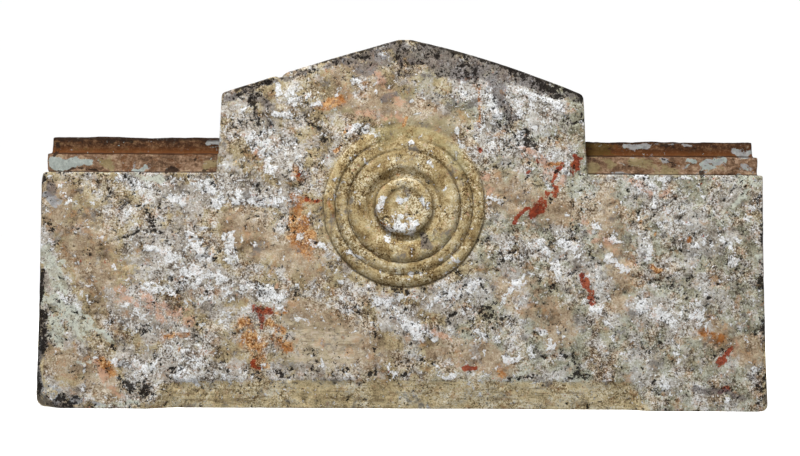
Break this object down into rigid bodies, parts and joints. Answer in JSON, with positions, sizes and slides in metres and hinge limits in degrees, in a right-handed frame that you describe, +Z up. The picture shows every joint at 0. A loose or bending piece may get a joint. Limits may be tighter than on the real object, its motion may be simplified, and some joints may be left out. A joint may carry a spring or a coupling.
{
  "type": "stone window hood",
  "caption": "Carved stone window hood with a gabled centre block, stepped wings, a ringed roundel and a stopped chamfer under the face.",
  "frame": {"origin": "middle of the underside, on the surface that the stone stands on", "axes": "+X to the right along the stone, +Z up, the carved face looks towards -Y and the flat back towards +Y"},
  "size_m": [1.2, 0.209, 0.603],
  "materials": {
    "stone": "weathered stone under a broken crust of old limewash"
  },
  "bodies": {
    "root": {"window_hood": "stone"}
  },
  "joints": []
}
